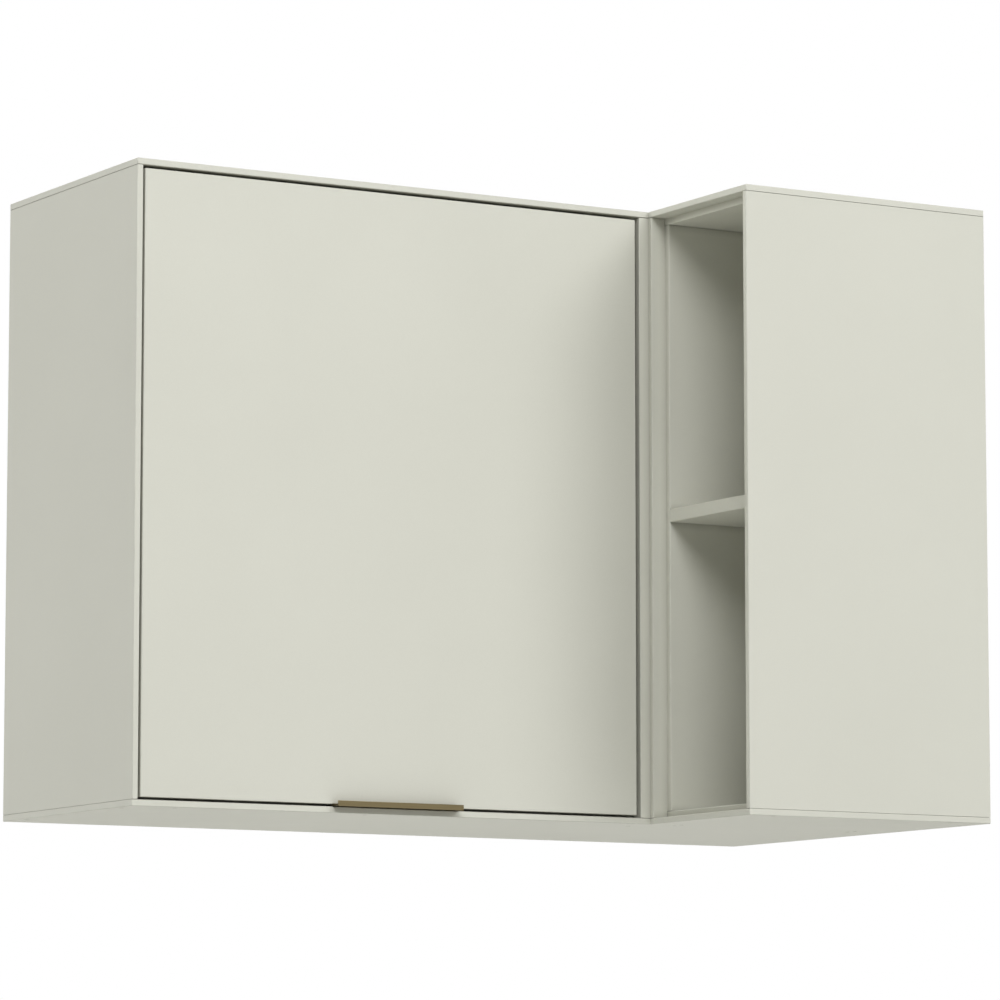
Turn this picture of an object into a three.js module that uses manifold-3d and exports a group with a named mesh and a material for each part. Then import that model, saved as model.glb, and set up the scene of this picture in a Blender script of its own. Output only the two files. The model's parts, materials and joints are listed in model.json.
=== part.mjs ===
import * as THREE from 'three';
import { mergeVertices } from 'three/addons/utils/BufferGeometryUtils.js';
import Module from 'manifold-3d';

// A corner wall cabinet: a cupboard with a lift-up flap and, at its right end, an open niche
// that stands forward. Lengths are in millimetres, X runs right, Y runs back and Z runs up.
// The pieces are placed from the front left bottom corner of the cupboard, and the whole
// cabinet is then moved so that the origin is the middle of its hanging rail, on the wall.

// Carcass
const cabinet_width = 974;
const cabinet_height = 700;
const cabinet_depth = 324;
const front_width = 650;
const niche_reach = 204;
const board = 15;
const lip = 7;
const rebate_run = 18.5;
const joint_gap = 0.3;
const cut_overrun = 2;

// Door post, back and rails
const post_depth = 80;
const post_behind_niche = 2.8;
const back_board_thickness = 3;
const groove_depth = 6;
const rail_height = 80;

// Shelves
const niche_shelf_thickness = 15;
const inner_shelf_thickness = 15;
const inner_shelf_setback = 10;
const inner_shelf_end_gap = 1;
const shelf_pin_radius = 2.5;
const shelf_pin_length = 16;
const shelf_pin_inset = 40;

// Dowels
const dowel_radius = 4;
const dowel_in_panel = 8;
const dowel_in_board = 20;
const dowel_inset = 20;

// Screws through the top and the bottom
const screw_length = 40;
const screw_head_radius = 2.8;
const screw_head_height = 2.4;
const screw_shank_radius = 1.8;
const side_screw_front = 40.5;
const side_screw_rear = 47.5;
const board_screw_inset = 36;
const plug_radius = 2.6;
const plug_depth = 3;
const plug_back = 13;
const first_plug_across = 57.5;
const second_plug_across = 289.5;

// Door
const door_thickness = 15;
const door_gap_left = 2.5;
const door_gap_right = 5.4;
const door_gap_top = 3.6;
const door_gap_bottom = 2.8;
const flap_axis_back = 7;
const buffer_radius = 2.4;
const buffer_inset = 50;

// Pull
const pull_length = 157;
const pull_plate = 1.5;
const pull_reach = 13.7;
const pull_rear = 12;
const pull_lip_rise = 3.5;
const pull_lip_drop = 1.1;
const pull_screw_pitch = 64;
const pull_screw_radius = 1.2;
const pull_screw_head_radius = 2.4;
const pull_screw_length = 14;

// Hinges
const hinge_inset = 100;
const cup_radius = 17.2;
const cup_wall = 0.8;
const cup_below_axis = 12;
const cup_bed = 3;
const cup_flange = 1;
const cup_flange_ring = 1.8;
const cup_wing_reach = 28;
const cup_wing_half_height = 9;
const cup_screw_across = 23;
const cheek_width = 2;
const cheek_rise = 9;
const cheek_half_height = 6;
const arm_width = 10;
const arm_thickness = 2;
const eye_radius = 2.6;
const hinge_pin_radius = 1.2;
const arm_throat = 13;
const arm_throat_angle = 80;
const arm_belly_back = 16;
const arm_belly_drop = 16;
const arm_heel_back = 30;
const arm_heel_drop = 8;
const plate_front = 38;
const plate_length = 40;
const plate_thickness = 1.7;
const plate_half_width = 7;
const plate_wing_reach = 20;
const plate_wing_length = 16;
const plate_screw_across = 14;
const fitting_screw_radius = 1.5;
const fitting_screw_head_radius = 3;
const fitting_screw_head = 1.5;
const fitting_screw_bite = 9;

// Gas struts
const strut_offset = 15;
const strut_foot_back = 57;
const strut_head_back = 32;
const strut_head_drop = 60;
const strut_rise = 210;
const strut_eye_radius = 7;
const strut_eye_width = 10;
const strut_tube_radius = 7.5;
const strut_tube_bore = 5;
const strut_tube_start = 12;
const strut_tube_end = 185;
const strut_tube_floor = 83;
const strut_guide_length = 10;
const strut_neck_radius = 4.5;
const strut_rod_radius = 4;
const strut_rod_start = 105;
const strut_socket_radius = 4.8;
const strut_socket_length = 15;
const piston_length = 8;
const stud_radius = 4;
const stud_shoulder_radius = 5.5;
const stud_cap_radius = 5.5;
const stud_cap = 1.5;
const bracket_plate = 2;
const foot_bracket_width = 26;
const foot_bracket_height = 44;
const head_bracket_width = 22;
const head_bracket_height = 40;
const head_cheek_half_height = 8;
const bracket_screw_pitch = 30;

// Facets on round pieces
const pin_sides = 8;
const tube_sides = 16;
const cup_sides = 24;

// Places worked out from the sizes above. The flap's axis lies just so far below its top edge
// that this edge clears the rebate's step as it swings back.
const side_inner = board;
const right_inner = cabinet_width - board;
const niche_front = -niche_reach;
const niche_clear_front = board - niche_reach;
const post_left = front_width + post_behind_niche - board;
const post_right = front_width + post_behind_niche;
const plug_left = side_inner + joint_gap;
const niche_step = front_width + rebate_run;
const lipped_low = lip + joint_gap;
const lipped_high = cabinet_height - lip - joint_gap;
const plain_low = board + joint_gap;
const plain_high = cabinet_height - board - joint_gap;
const rail_front = cabinet_depth - board;
const back_board_rear = rail_front - joint_gap;
const back_board_front = back_board_rear - back_board_thickness;
const niche_shelf_low = (cabinet_height - niche_shelf_thickness) / 2;
const inner_shelf_low = (cabinet_height - inner_shelf_thickness) / 2;
const door_left = lip + door_gap_left;
const door_right = post_left - door_gap_right;
const door_low = lip + door_gap_bottom;
const door_high = cabinet_height - lip - door_gap_top;
const door_middle = (door_left + door_right) / 2;
const flap_top_swing = rebate_run - joint_gap - flap_axis_back;
const flap_axis_drop = Math.sqrt(flap_top_swing ** 2 - (door_thickness - flap_axis_back) ** 2);
const flap_axis_height = door_high - flap_axis_drop;
const cup_height = flap_axis_height - cup_below_axis;
const strut_head_height = flap_axis_height - strut_head_drop;
const strut_foot_height = strut_head_height - strut_rise;
const hanging_height = plain_high - rail_height / 2;

const wasm = await Module();
wasm.setup();

// Finishes
function finish(color, roughness, metalness) {
  return new THREE.MeshStandardMaterial({ color, roughness, metalness });
}

const lacquer = finish('#d8d9cd', 0.5, 0);
const hardboard = finish('#d2d2c6', 0.7, 0);
const zinc = finish('#b9bcc0', 0.35, 1);
const nickel = finish('#c6c6c4', 0.25, 1);
const rod_steel = finish('#d5d8dc', 0.15, 1);
const black_paint = finish('#1c1d1f', 0.45, 0.3);
const bronze = finish('#7d7158', 0.4, 0.8);
const clear_rubber = finish('#d9dad6', 0.6, 0);
const plug_plastic = finish('#a9a99c', 0.6, 0);

// The cabinet's frame stands at the cupboard's front left bottom corner
const cabinet = new THREE.Group();
cabinet.position.set(-cabinet_width / 2, -cabinet_depth, -hanging_height);

function piece(name, geometry, material, x, y, z, parent = cabinet) {
  const mesh = new THREE.Mesh(geometry, material);
  mesh.name = name;
  mesh.position.set(x, y, z);
  parent.add(mesh);
  return mesh;
}

// A block from one corner to the other
function block(low, high) {
  const [width, depth, height] = high.map((value, axis) => value - low[axis]);
  const geometry = new THREE.BoxGeometry(width, depth, height);
  return geometry.translate(low[0] + width / 2, low[1] + depth / 2, low[2] + height / 2);
}

// A straight length of one outline, upright
function upright(outline, low, high) {
  const shape = new THREE.Shape(outline.map(([x, y]) => new THREE.Vector2(x, y)));
  const geometry = new THREE.ExtrudeGeometry(shape, { depth: high - low, bevelEnabled: false });
  return geometry.translate(0, 0, low);
}

// The same along X, its outline given as back and up
function crosswise(outline, low, high) {
  const turn = new THREE.Matrix4();
  turn.makeBasis(new THREE.Vector3(0, 1, 0), new THREE.Vector3(0, 0, 1), new THREE.Vector3(1, 0, 0));
  return upright(outline, low, high).applyMatrix4(turn);
}

// A turned piece whose profile is radius and height, standing on Z
function turned(profile, sides) {
  const points = profile.map(([radius, height]) => new THREE.Vector2(radius, height));
  return new THREE.LatheGeometry(points, sides).rotateX(Math.PI / 2);
}

// A round bar from low to high on Z
function bar(radius, low, high, sides) {
  return turned([[0, low], [radius, low], [radius, high], [0, high]], sides);
}

// Turned pieces stood along Z are laid along +X or +Y
function along_x(geometry) {
  return geometry.rotateY(Math.PI / 2);
}

function along_y(geometry) {
  return geometry.rotateX(-Math.PI / 2);
}

// A geometry with its positions alone, each corner held once
function bare(geometry) {
  const copy = geometry.clone();
  copy.deleteAttribute('normal');
  copy.deleteAttribute('uv');
  return mergeVertices(copy);
}

function solid(geometry) {
  const { attributes, index } = bare(geometry);
  const mesh = new wasm.Mesh({
    numProp: 3,
    vertProperties: new Float32Array(attributes.position.array),
    triVerts: new Uint32Array(index.array),
  });
  return new wasm.Manifold(mesh);
}

function surface(manifold) {
  const mesh = manifold.getMesh();
  const geometry = new THREE.BufferGeometry();
  geometry.setAttribute('position', new THREE.BufferAttribute(mesh.vertProperties, 3));
  geometry.setIndex(new THREE.BufferAttribute(mesh.triVerts, 1));
  geometry.computeVertexNormals();
  return geometry;
}

function joined(geometries) {
  return surface(geometries.map(solid).reduce((whole, part) => whole.add(part)));
}

function cut(geometry, tools) {
  return surface(tools.map(solid).reduce((whole, tool) => whole.subtract(tool), solid(geometry)));
}

// Where each upright board is screwed to the bottom, and doweled to the top above the same places
function screw_places() {
  const side_rear = cabinet_depth - side_screw_rear;
  const board_left = front_width + board_screw_inset;
  const board_right = right_inner - board_screw_inset;
  const niche_back_middle = -board / 2 - joint_gap;
  const end_middle = niche_front + board / 2;
  const wall_middle = right_inner + board / 2;
  return {
    left_side: [[side_inner / 2, side_screw_front], [side_inner / 2, side_rear]],
    right_side: [[wall_middle, side_screw_front], [wall_middle, side_rear]],
    post: [[post_left + board / 2, post_depth / 2]],
    blind: [[board_left, board / 2], [board_right, board / 2]],
    niche_back: [[board_left, niche_back_middle], [board_right, niche_back_middle]],
    niche_end: [[board_left, end_middle], [board_right, end_middle]],
    niche_wall: [[wall_middle, niche_clear_front + board_screw_inset], [wall_middle, -board_screw_inset]],
  };
}

const screws = screw_places();

// One countersunk screw with its head at Z 0 and its point up
function wood_screw(spare) {
  const head = screw_head_radius + spare;
  const shank = screw_shank_radius + spare;
  const start = spare > 0 ? -cut_overrun : 0;
  const profile = [[0, start], [head, start]];
  if (spare > 0) profile.push([head, 0]);
  profile.push([shank, screw_head_height], [shank, screw_length + spare], [0, screw_length + spare]);
  return turned(profile, pin_sides);
}

function screws_at(places, spare) {
  return places.map(([x, y]) => wood_screw(spare).translate(x, y, 0));
}

// Dowels glued into the top, which reach down into the boards
function top_dowels_at(places, spare) {
  const low = plain_high - dowel_in_board - spare;
  const high = spare > 0 ? cabinet_height : cabinet_height - lip / 2;
  return places.map(([x, y]) => bar(dowel_radius + spare, low, high, pin_sides).translate(x, y, 0));
}

function screw_beds(places) {
  return [...screws_at(places, joint_gap), ...top_dowels_at(places, joint_gap)];
}

function plug_places() {
  return [[first_plug_across, plug_back], [second_plug_across, plug_back]];
}

// The groove that the back board slides into, as a block that is cut away
function back_board_groove() {
  const reach = groove_depth + joint_gap;
  return block(
    [side_inner - reach, back_board_front - joint_gap, board - reach],
    [right_inner + reach, back_board_rear + joint_gap, cabinet_height - board + reach],
  );
}

// Top and bottom: an L-shaped board with a rebate round both openings and both outer sides
function cover_panel(thin_low, thick_low) {
  const outline = [
    [0, 0], [front_width, 0], [front_width, niche_front], [cabinet_width, niche_front],
    [cabinet_width, cabinet_depth], [0, cabinet_depth],
  ];
  const thick_front = niche_clear_front + joint_gap;
  const thick = [
    [plug_left, rebate_run], [post_right + joint_gap, rebate_run], [post_right + joint_gap, 0],
    [niche_step, 0], [niche_step, thick_front], [cabinet_width, thick_front],
    [cabinet_width, cabinet_depth], [plug_left, cabinet_depth],
  ];
  return joined([upright(outline, thin_low, thin_low + lip), upright(thick, thick_low, thick_low + board)]);
}

function bottom_panel() {
  const places = Object.values(screws).flat();
  const plugs = plug_places().map(([x, y]) => {
    const bed = bar(plug_radius + joint_gap, -cut_overrun, plug_depth + joint_gap, pin_sides);
    return bed.translate(x, y, 0);
  });
  const tools = [back_board_groove(), ...screws_at(places, joint_gap), ...plugs];
  piece('bottom_panel', cut(cover_panel(0, 0), tools), lacquer, 0, 0, 0);
}

function top_panel() {
  const places = Object.values(screws).flat();
  const whole = cover_panel(cabinet_height - lip, cabinet_height - board);
  const grooved = cut(whole, [back_board_groove(), ...hinge_plate_holes()]);
  const geometry = joined([grooved, ...top_dowels_at(places, 0)]);
  piece('top_panel', geometry.translate(0, 0, -cabinet_height), lacquer, 0, 0, cabinet_height);
}

// Dowels glued into the rails' ends, along X
const rail_lows = { upper_hanging_rail: plain_high - rail_height, lower_wall_rail: plain_low };

function rail_dowels_at(joint, lows, spare) {
  const toward_panel = dowel_in_panel + spare;
  const toward_board = dowel_in_board + spare;
  const left = joint === 'left';
  const low = left ? side_inner - toward_panel : right_inner - toward_board;
  const high = left ? side_inner + toward_board : right_inner + toward_panel;
  const heights = lows.flatMap((rail) => [rail + dowel_inset, rail + rail_height - dowel_inset]);
  return heights.map((height) => {
    const dowel = along_x(bar(dowel_radius + spare, low, high, pin_sides));
    return dowel.translate(0, cabinet_depth - board / 2, height);
  });
}

function rail_dowel_beds(joint) {
  return rail_dowels_at(joint, Object.values(rail_lows), joint_gap);
}

// Pins that carry the inner shelf, along X
function shelf_pin_places() {
  const low = post_depth + inner_shelf_setback + shelf_pin_inset;
  const high = back_board_front - shelf_pin_inset;
  const height = inner_shelf_low - shelf_pin_radius - joint_gap;
  return [[low, height], [high, height]];
}

function shelf_pins_at(joint, spare) {
  const face = joint === 'left' ? side_inner : right_inner;
  const half = shelf_pin_length / 2 + spare;
  return shelf_pin_places().map(([y, z]) => {
    const pin = along_x(bar(shelf_pin_radius + spare, face - half, face + half, pin_sides));
    return pin.translate(0, y, z);
  });
}

function left_side_panel() {
  const outline = [
    [0, 0], [lip, 0], [lip, rebate_run], [side_inner, rebate_run],
    [side_inner, cabinet_depth], [0, cabinet_depth],
  ];
  const tools = [
    back_board_groove(), ...screw_beds(screws.left_side), ...rail_dowel_beds('left'),
    ...shelf_pins_at('left', joint_gap), ...foot_bracket_holes('left'),
  ];
  piece('left_side_panel', cut(upright(outline, lipped_low, lipped_high), tools), lacquer, 0, 0, 0);
}

function right_side_panel() {
  const whole = block([right_inner, 0, plain_low], [cabinet_width, cabinet_depth, plain_high]);
  const tools = [
    back_board_groove(), ...screw_beds(screws.right_side), ...rail_dowel_beds('right'),
    ...shelf_pins_at('right', joint_gap),
  ];
  const geometry = cut(whole, tools).translate(-right_inner, 0, 0);
  piece('right_side_panel', geometry, lacquer, right_inner, 0, 0);
}

// The post that closes the right side of the door opening
function door_post() {
  const shoulder = rebate_run - joint_gap;
  const outline = [
    [0, lipped_low], [shoulder, lipped_low], [shoulder, plain_low], [post_depth, plain_low],
    [post_depth, plain_high], [shoulder, plain_high], [shoulder, lipped_high], [0, lipped_high],
  ];
  const tools = [...screw_beds(screws.post), ...foot_bracket_holes('right')];
  const geometry = cut(crosswise(outline, post_left, post_right), tools);
  piece('door_post', geometry.translate(-post_left, 0, 0), lacquer, post_left, 0, 0);
}

// The plain board that closes the cupboard behind the niche
function blind_panel() {
  const low = [post_right + joint_gap, 0, plain_low];
  const whole = block(low, [right_inner - joint_gap, board, plain_high]);
  piece('blind_panel', cut(whole, screw_beds(screws.blind)), lacquer, 0, 0, 0);
}

// Dowels glued into the niche shelf's front and back edges, along Y
function niche_dowels_at(joint, spare) {
  const toward_panel = dowel_in_panel + spare;
  const toward_board = dowel_in_board + spare;
  const front = joint === 'front';
  const low = front ? niche_clear_front - toward_panel : -board - toward_board;
  const high = front ? niche_clear_front + toward_board : -board + toward_panel;
  const height = niche_shelf_low + niche_shelf_thickness / 2;
  return [niche_step + dowel_inset, right_inner - dowel_inset].map((x) => {
    const dowel = along_y(bar(dowel_radius + spare, low, high, pin_sides));
    return dowel.translate(x, 0, height);
  });
}

function niche_back_panel() {
  const thin = block([front_width, -lip, lipped_low], [niche_step - joint_gap, -joint_gap, lipped_high]);
  const thick = block(
    [niche_step, -board, plain_low],
    [right_inner - joint_gap, -joint_gap, plain_high],
  );
  const bridge = block([front_width + lip, -lip, plain_low], [niche_step + lip, -joint_gap, plain_high]);
  const whole = joined([thin, bridge, thick]);
  const tools = [...screw_beds(screws.niche_back), ...niche_dowels_at('back', joint_gap)];
  piece('niche_back_panel', cut(whole, tools), lacquer, 0, 0, 0);
}

function niche_end_panel() {
  const outline = [
    [front_width, niche_front], [cabinet_width, niche_front], [cabinet_width, niche_clear_front],
    [niche_step, niche_clear_front], [niche_step, niche_front + lip], [front_width, niche_front + lip],
  ];
  const tools = [...screw_beds(screws.niche_end), ...niche_dowels_at('front', joint_gap)];
  piece('niche_end_panel', cut(upright(outline, lipped_low, lipped_high), tools), lacquer, 0, 0, 0);
}

function niche_wall_panel() {
  const low = [right_inner, niche_clear_front + joint_gap, plain_low];
  const whole = block(low, [cabinet_width, -joint_gap, plain_high]);
  piece('niche_wall_panel', cut(whole, screw_beds(screws.niche_wall)), lacquer, 0, 0, 0);
}

function niche_shelf() {
  const low = [niche_step, niche_clear_front + joint_gap, niche_shelf_low];
  const high = [right_inner - joint_gap, -board - joint_gap, niche_shelf_low + niche_shelf_thickness];
  const dowels = [...niche_dowels_at('front', 0), ...niche_dowels_at('back', 0)];
  const geometry = joined([block(low, high), ...dowels]);
  piece('niche_shelf', geometry.translate(0, 0, -niche_shelf_low), lacquer, 0, 0, niche_shelf_low);
}

function inner_shelf() {
  const width = right_inner - side_inner - 2 * inner_shelf_end_gap;
  const front = post_depth + inner_shelf_setback;
  const depth = back_board_front - inner_shelf_end_gap - front;
  const shelf = block([0, 0, 0], [width, depth, inner_shelf_thickness]);
  piece('inner_shelf', shelf, lacquer, side_inner + inner_shelf_end_gap, front, inner_shelf_low);
}

function back_board() {
  const width = right_inner - side_inner + 2 * (groove_depth - joint_gap);
  const height = cabinet_height - 2 * board + 2 * (groove_depth - joint_gap);
  const sheet = block([0, 0, 0], [width, back_board_thickness, height]);
  const left = side_inner - groove_depth + joint_gap;
  piece('back_board', sheet, hardboard, left, back_board_front, board - groove_depth + joint_gap);
}

function rails() {
  for (const [name, low] of Object.entries(rail_lows)) {
    const whole = block(
      [side_inner + joint_gap, rail_front, low],
      [right_inner - joint_gap, cabinet_depth, low + rail_height],
    );
    const dowels = [...rail_dowels_at('left', [low], 0), ...rail_dowels_at('right', [low], 0)];
    piece(name, joined([whole, ...dowels]).translate(0, 0, -low), lacquer, 0, 0, low);
  }
}

function bottom_screws() {
  for (const [name, places] of Object.entries(screws)) {
    places.forEach(([x, y], index) => {
      piece(`bottom_screw_${name}_${index + 1}`, wood_screw(0), zinc, x, y, 0);
    });
  }
}

function bottom_hole_plugs() {
  plug_places().forEach(([x, y], index) => {
    const plug = bar(plug_radius, 0, plug_depth, pin_sides);
    piece(`bottom_hole_plug_${index + 1}`, plug, plug_plastic, x, y, 0);
  });
}

function inner_shelf_pins() {
  for (const joint of ['left', 'right']) {
    shelf_pins_at(joint, 0).forEach((pin, index) => {
      piece(`${joint}_shelf_pin_${index + 1}`, pin, zinc, 0, 0, 0);
    });
  }
}

// Hinges
const hinge_places = { left: door_left + hinge_inset, right: door_right - hinge_inset };

// The door's bed for each hinge cup and for the screws beside it
function cup_beds() {
  return Object.values(hinge_places).flatMap((x) => {
    const bed = along_y(bar(cup_radius + joint_gap, cup_bed, door_thickness + cut_overrun, cup_sides));
    const holes = cup_screws_at(x, joint_gap);
    return [bed.translate(x, 0, cup_height), ...holes];
  });
}

// A pan-head screw along Z with its head's underside at Z 0 and its point up
function fitting_screw(spare, bite) {
  const head = fitting_screw_head_radius + spare;
  const shank = fitting_screw_radius + spare;
  const low = -fitting_screw_head - spare;
  const high = bite + spare;
  const profile = [
    [0, low], [head, low], [head, -spare], [shank, -spare], [shank, high], [0, high],
  ];
  return turned(profile, pin_sides);
}

function cup_screws_at(x, spare) {
  const seat = door_thickness + joint_gap + cup_flange;
  return [-cup_screw_across, cup_screw_across].map((across) => {
    const screw = along_y(fitting_screw(spare, fitting_screw_bite)).rotateZ(Math.PI);
    return screw.translate(x + across, seat, cup_height);
  });
}

function hinge_cup(side) {
  const low = cup_bed + joint_gap;
  const high = door_thickness + joint_gap + cup_flange;
  const seat = door_thickness + joint_gap;
  const outside = along_y(bar(cup_radius, low, high, cup_sides));
  const ring = along_y(bar(cup_radius + cup_flange_ring, seat, high, cup_sides));
  const wings = block(
    [-cup_wing_reach, seat, -cup_wing_half_height],
    [cup_wing_reach, high, cup_wing_half_height],
  );
  const inside = along_y(bar(cup_radius - cup_wall, low + cup_wall, high + cut_overrun, cup_sides));
  const shell = solid(joined([outside, ring, wings])).subtract(solid(inside));
  const axis_up = flap_axis_height - cup_height;
  const cheek_low = arm_width / 2 + joint_gap;
  const cheeks = [-1, 1].map((hand) => {
    const cheek = block(
      [cheek_low, low, axis_up - cheek_half_height],
      [cheek_low + cheek_width, low + cheek_rise, axis_up + cheek_half_height],
    );
    return hand < 0 ? cheek.rotateZ(Math.PI).translate(0, 2 * low + cheek_rise, 0) : cheek;
  });
  const trimmed = solid(joined(cheeks)).intersect(solid(outside));
  const hole = hinge_pin(joint_gap + cut_overrun, hinge_pin_radius + joint_gap);
  const fixings = cup_screws_at(0, 0).map((screw) => screw.translate(0, 0, -cup_height));
  const whole = joined([surface(shell.add(trimmed)), ...fixings]);
  const geometry = cut(whole, [hole.translate(0, 0, -cup_height)]);
  piece(`${side}_hinge_cup`, geometry, nickel, hinge_places[side], 0, cup_height);
}

// The pin through a hinge, on the flap's axis
function hinge_pin(spare, radius) {
  const half = arm_width / 2 + joint_gap + cheek_width + spare;
  return along_x(bar(radius, -half, half, pin_sides)).translate(0, flap_axis_back, flap_axis_height);
}

// A bent strip of steel as an outline round its middle line
function strip_outline(points, thickness) {
  const sides = [1, -1].map((hand) => points.map((point, index) => {
    const before = points[Math.max(index - 1, 0)];
    const after = points[Math.min(index + 1, points.length - 1)];
    const inward = new THREE.Vector2().subVectors(point, before);
    const onward = new THREE.Vector2().subVectors(after, point);
    if (inward.length() === 0) inward.copy(onward);
    if (onward.length() === 0) onward.copy(inward);
    const across = new THREE.Vector2().addVectors(inward.normalize(), onward.normalize()).normalize();
    const mitre = thickness / 2 / across.dot(onward);
    return [point.x - hand * across.y * mitre, point.y + hand * across.x * mitre];
  }));
  return [...sides[1], ...sides[0].reverse()];
}

// The goose-neck arm: from its eye in the cup, round the door's edge and back under the plate
function hinge_arm(side) {
  const angle = THREE.MathUtils.degToRad(arm_throat_angle);
  const ceiling = plain_high - plate_thickness - joint_gap - arm_thickness / 2 - flap_axis_height;
  const points = [
    new THREE.Vector2(0, 0),
    new THREE.Vector2(arm_throat * Math.cos(angle), -arm_throat * Math.sin(angle)),
    new THREE.Vector2(arm_belly_back, -arm_belly_drop),
    new THREE.Vector2(arm_heel_back, -arm_heel_drop),
    new THREE.Vector2(plate_front - flap_axis_back, ceiling),
    new THREE.Vector2(plate_front + plate_length - flap_axis_back, ceiling),
  ];
  const half = arm_width / 2;
  const strip = crosswise(strip_outline(points, arm_thickness), -half, half);
  const eye = along_x(bar(eye_radius, -half, half, pin_sides));
  const bore_half = half + cut_overrun;
  const bore = along_x(bar(hinge_pin_radius + joint_gap, -bore_half, bore_half, pin_sides));
  const holes = arm_screws_at(0, joint_gap).map((tool) => {
    return tool.translate(0, -flap_axis_back, -flap_axis_height);
  });
  const geometry = cut(joined([strip, eye]), [bore, ...holes]);
  piece(`${side}_hinge_arm`, geometry, nickel, hinge_places[side], flap_axis_back, flap_axis_height);
}

function plate_screw_y() {
  return plate_front + plate_length / 2;
}

// Screws that stand in a plate's wings, from below into the top panel
function plate_screws_at(x, spare) {
  const seat = plain_high - plate_thickness;
  return [-plate_screw_across, plate_screw_across].map((across) => {
    const screw = fitting_screw(spare, fitting_screw_bite);
    return screw.translate(x + across, plate_screw_y(), seat);
  });
}

// The screw that holds an arm to its plate
function arm_screws_at(x, spare) {
  const seat = plain_high - plate_thickness - joint_gap - arm_thickness - joint_gap;
  const screw = fitting_screw(spare, fitting_screw_bite);
  return [screw.translate(x, plate_screw_y(), seat)];
}

function hinge_plate_holes() {
  return Object.values(hinge_places).flatMap((x) => {
    return [...plate_screws_at(x, joint_gap), ...arm_screws_at(x, joint_gap)];
  });
}

function hinge_plate(side) {
  const low = plain_high - plate_thickness;
  const wing_front = plate_front + (plate_length - plate_wing_length) / 2;
  const spine = block(
    [-plate_half_width, plate_front, low],
    [plate_half_width, plate_front + plate_length, plain_high],
  );
  const wings = block(
    [-plate_wing_reach, wing_front, low],
    [plate_wing_reach, wing_front + plate_wing_length, plain_high],
  );
  const geometry = joined([spine, wings, ...plate_screws_at(0, 0), ...arm_screws_at(0, 0)]);
  piece(`${side}_hinge_plate`, geometry, nickel, hinge_places[side], 0, 0);
}

function hinges() {
  for (const side of Object.keys(hinge_places)) {
    hinge_cup(side);
    hinge_arm(side);
    hinge_plate(side);
    piece(`${side}_hinge_pin`, hinge_pin(0, hinge_pin_radius), rod_steel, hinge_places[side], 0, 0);
  }
}

// Door and pull
function pull_screw(spare) {
  const head = pull_screw_head_radius + spare;
  const shank = pull_screw_radius + spare;
  const start = spare > 0 ? -cut_overrun : 0;
  const profile = [[0, start], [head, start]];
  if (spare > 0) profile.push([head, 0]);
  profile.push([shank, pull_plate], [shank, pull_screw_length + spare], [0, pull_screw_length + spare]);
  return turned(profile, pin_sides);
}

function pull_screw_places() {
  const low = door_low - joint_gap - pull_plate;
  return [-pull_screw_pitch, 0, pull_screw_pitch].map((across) => {
    return [door_middle + across, door_thickness / 2, low];
  });
}

function pull_screw_beds() {
  return pull_screw_places().map((place) => pull_screw(joint_gap).translate(...place));
}

function door_panel() {
  const whole = block([door_left, 0, door_low], [door_right, door_thickness, door_high]);
  const head_holes = [...head_bracket_holes('left'), ...head_bracket_holes('right')];
  const geometry = cut(whole, [...cup_beds(), ...pull_screw_beds(), ...head_holes]);
  piece('door_panel', geometry.translate(-door_left, 0, 0), lacquer, door_left, 0, 0);
}

function door_pull() {
  const top = door_low - joint_gap;
  const low = top - pull_plate;
  const back_of_lip = pull_plate - pull_reach;
  const outline = [
    [-pull_reach, low - pull_lip_drop], [back_of_lip, low - pull_lip_drop], [back_of_lip, low],
    [pull_rear, low], [pull_rear, top], [back_of_lip, top],
    [back_of_lip, top + pull_lip_rise], [-pull_reach, top + pull_lip_rise],
  ];
  const half = pull_length / 2;
  const whole = crosswise(outline, door_middle - half, door_middle + half);
  const geometry = cut(whole, pull_screw_beds()).translate(-door_middle, 0, 0);
  piece('door_pull', geometry, bronze, door_middle, 0, 0);
  pull_screw_places().forEach((place, index) => {
    piece(`pull_screw_${index + 1}`, pull_screw(0), zinc, ...place);
  });
}

// Soft stops on the door's back that meet the step of the rebate
function door_buffers() {
  const height = door_low + joint_gap + buffer_radius;
  const low = door_thickness + joint_gap;
  const high = rebate_run - joint_gap;
  const places = { left: door_left + buffer_inset, right: door_right - buffer_inset };
  for (const [side, x] of Object.entries(places)) {
    const buffer = along_y(bar(buffer_radius, low, high, pin_sides));
    piece(`${side}_door_buffer`, buffer, clear_rubber, x, 0, height);
  }
}

// Gas struts: how far each stands from the face that carries its foot, and which way it looks
const strut_sides = {
  left: { face: side_inner, hand: 1 },
  right: { face: post_left, hand: -1 },
};

// A piece drawn for the left strut is turned over for the right one
function handed(geometry, hand) {
  if (hand > 0) return geometry;
  const turned_over = bare(geometry).scale(-1, 1, 1);
  turned_over.index.array.reverse();
  return turned_over;
}

// The foot bracket's screws, along X from the cupboard into the board behind
function foot_screws_at(spare) {
  const seat = joint_gap + bracket_plate;
  return [-bracket_screw_pitch / 2, bracket_screw_pitch / 2].map((up) => {
    const screw = along_x(fitting_screw(spare, fitting_screw_bite)).rotateZ(Math.PI);
    return screw.translate(seat, 0, up);
  });
}

function foot_bracket_holes(side) {
  const { face, hand } = strut_sides[side];
  return foot_screws_at(joint_gap).map((tool) => {
    return handed(tool, hand).translate(face, strut_foot_back, strut_foot_height);
  });
}

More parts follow.
